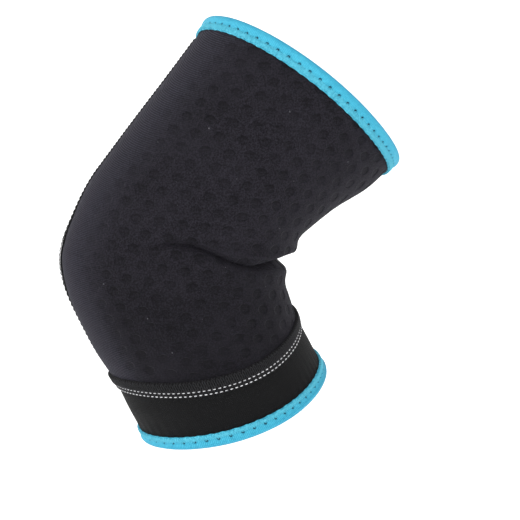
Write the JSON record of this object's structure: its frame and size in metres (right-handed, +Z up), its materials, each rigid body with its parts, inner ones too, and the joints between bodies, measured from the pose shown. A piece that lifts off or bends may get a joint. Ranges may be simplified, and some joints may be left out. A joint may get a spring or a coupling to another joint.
{
  "type": "elbow brace",
  "caption": "Pull-on elbow sleeve of dimpled black foam cloth in its worn, bent form, with a plain cuff and a folded tape round each edge.",
  "frame": {"origin": "the middle of the elbow, inside the sleeve, where the arm that wears it bends", "axes": "+X from the elbow's point towards the crook, +Z up with the upper arm's end above, +Y along the axis that the arm bends about; the sleeve is bent in the XZ plane"},
  "size_m": [0.1452, 0.0924, 0.1751],
  "materials": {
    "dimpled_cloth": "matt knitted face over foam, with round embossed dimples",
    "cuff_cloth": "smooth matt knitted cloth",
    "edge_tape": "soft ribbed woven tape with a little sheen",
    "seam_strip": "matt overlock thread"
  },
  "bodies": {
    "root": {"sleeve_body": "dimpled_cloth", "cuff_band": "cuff_cloth", "upper_binding": "edge_tape", "lower_binding": "edge_tape", "cuff_seam": "seam_strip", "back_seam": "seam_strip"}
  },
  "joints": []
}
